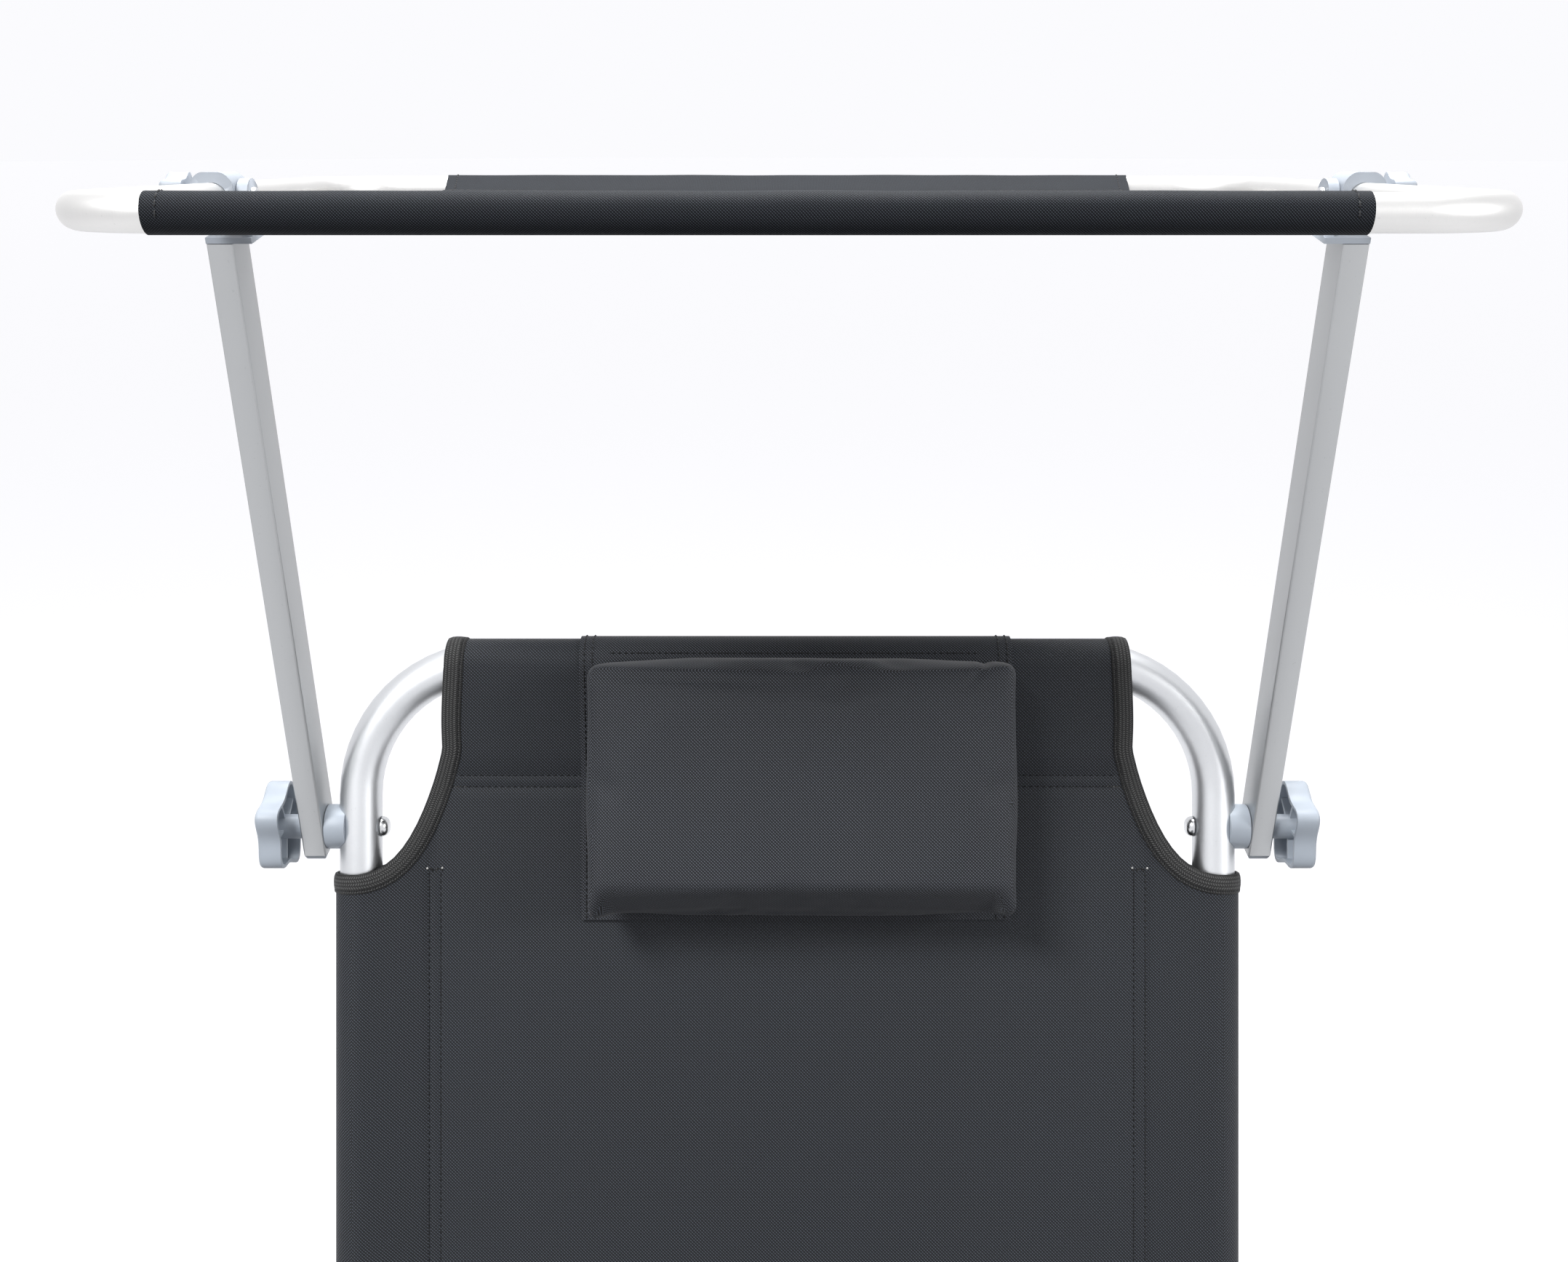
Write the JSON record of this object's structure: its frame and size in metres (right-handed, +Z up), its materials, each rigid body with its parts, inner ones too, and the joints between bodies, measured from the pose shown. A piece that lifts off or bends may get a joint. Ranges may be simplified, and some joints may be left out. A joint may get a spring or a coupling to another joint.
{
  "type": "sun lounger with canopy",
  "caption": "Folding tube-framed sun lounger with a taut fabric bed, hinged backrest and foot section, U-shaped legs, head pillow and a tilting canopy on two arms.",
  "frame": {"origin": "on the floor under the middle of the whole at rest, backrest raised and canopy out", "axes": "+Z up, +Y from the foot end to the head end, +X to the right of someone at the foot end who looks at the backrest"},
  "size_m": [0.6276, 1.543, 1.2394],
  "materials": {
    "frame_tube": "satin",
    "canopy_tube": "satin",
    "arm_tube": "satin",
    "sling_cloth": "matte",
    "pillow_cloth": "matte",
    "canopy_fabric": "matte",
    "grey_plastic": "satin",
    "hinge_plastic": "satin",
    "hinge_plate": "satin",
    "glide_plastic": "matte",
    "zinc_fastener": "polished"
  },
  "bodies": {
    "seat_section": {"seat_side_tube_left": "frame_tube", "seat_side_tube_right": "frame_tube", "seat_cloth": "sling_cloth", "backrest_hinge_housing_left": "hinge_plastic", "backrest_hinge_housing_right": "hinge_plastic", "backrest_hinge_pin_left": "zinc_fastener", "backrest_hinge_pin_right": "zinc_fastener", "foot_hinge_housing_left": "hinge_plastic", "foot_hinge_housing_right": "hinge_plastic", "foot_hinge_pin_left": "zinc_fastener", "foot_hinge_pin_right": "zinc_fastener", "middle_leg_rivet_left": "zinc_fastener", "middle_leg_rivet_right": "zinc_fastener"},
    "backrest": {"backrest_frame": "frame_tube", "backrest_cloth": "sling_cloth", "head_pillow": "pillow_cloth", "pillow_flap": "pillow_cloth", "backrest_hinge_plate_left": "hinge_plate", "backrest_hinge_plate_right": "hinge_plate", "head_leg_rivet_left": "zinc_fastener", "head_leg_rivet_right": "zinc_fastener", "arm_bolt_left": "zinc_fastener", "arm_bolt_right": "zinc_fastener", "arm_spacer_left": "grey_plastic", "arm_spacer_right": "grey_plastic"},
    "foot_section": {"foot_frame": "frame_tube", "foot_cloth": "sling_cloth", "foot_hinge_plate_left": "hinge_plate", "foot_hinge_plate_right": "hinge_plate", "foot_leg_rivet_left": "zinc_fastener", "foot_leg_rivet_right": "zinc_fastener"},
    "head_leg": {"head_leg": "frame_tube", "head_leg_glide_left": "glide_plastic", "head_leg_glide_right": "glide_plastic"},
    "middle_leg": {"middle_leg": "frame_tube", "middle_leg_glide_left": "glide_plastic", "middle_leg_glide_right": "glide_plastic"},
    "foot_leg": {"foot_leg": "frame_tube", "foot_leg_glide_left": "glide_plastic", "foot_leg_glide_right": "glide_plastic"},
    "canopy_arms": {"canopy_arm_left": "arm_tube", "canopy_arm_right": "arm_tube", "arm_foot_cap_left": "grey_plastic", "arm_foot_cap_right": "grey_plastic", "arm_top_ear_left": "grey_plastic", "arm_top_ear_right": "grey_plastic"},
    "canopy": {"canopy_front_bow": "canopy_tube", "canopy_rear_bow": "canopy_tube", "canopy_cloth": "canopy_fabric", "canopy_clip_left": "grey_plastic", "canopy_clip_right": "grey_plastic", "canopy_bolt_left": "zinc_fastener", "canopy_bolt_right": "zinc_fastener"},
    "arm_knob_left": {"arm_knob_left": "grey_plastic"},
    "canopy_knob_left": {"canopy_knob_left": "grey_plastic"},
    "arm_knob_right": {"arm_knob_right": "grey_plastic"},
    "canopy_knob_right": {"canopy_knob_right": "grey_plastic"}
  },
  "joints": [
    {"name": "backrest_recline", "type": "hinge", "parent": "seat_section", "child": "backrest", "pos_m": [0, 0.41022, 0.3035], "axis": [1, 0, 0], "range_deg": [-72, 80]},
    {"name": "foot_section_fold", "type": "hinge", "parent": "seat_section", "child": "foot_section", "pos_m": [0, -0.10978, 0.3035], "axis": [1, 0, 0], "range_deg": [-148, 0]},
    {"name": "head_leg_fold", "type": "hinge", "parent": "backrest", "child": "head_leg", "pos_m": [0, 0.51814, 0.58387], "axis": [1, 0, 0], "range_deg": [0, 98]},
    {"name": "middle_leg_fold", "type": "hinge", "parent": "seat_section", "child": "middle_leg", "pos_m": [0, 0.33222, 0.2875], "axis": [1, 0, 0], "range_deg": [-98, 0]},
    {"name": "foot_leg_fold", "type": "hinge", "parent": "foot_section", "child": "foot_leg", "pos_m": [0, -0.57978, 0.2875], "axis": [1, 0, 0], "range_deg": [0, 98]},
    {"name": "canopy_arm_swing", "type": "hinge", "parent": "backrest", "child": "canopy_arms", "pos_m": [0, 0.60714, 0.85778], "axis": [-1, 0, 0], "range_deg": [-60, 70]},
    {"name": "canopy_tilt", "type": "hinge", "parent": "canopy_arms", "child": "canopy", "pos_m": [0, 0.55529, 1.22665], "axis": [1, 0, 0], "range_deg": [-23, 23]},
    {"name": "arm_knob_turn_left", "type": "hinge", "parent": "backrest", "child": "arm_knob_left", "pos_m": [0, 0.60714, 0.85778], "axis": [-1, 0, 0], "range_deg": [0, 360]},
    {"name": "canopy_knob_turn_left", "type": "hinge", "parent": "canopy", "child": "canopy_knob_left", "pos_m": [0, 0.55529, 1.22665], "axis": [-1, 0, 0], "range_deg": [0, 360]},
    {"name": "arm_knob_turn_right", "type": "hinge", "parent": "backrest", "child": "arm_knob_right", "pos_m": [0, 0.60714, 0.85778], "axis": [1, 0, 0], "range_deg": [0, 360]},
    {"name": "canopy_knob_turn_right", "type": "hinge", "parent": "canopy", "child": "canopy_knob_right", "pos_m": [0, 0.55529, 1.22665], "axis": [1, 0, 0], "range_deg": [0, 360]}
  ]
}
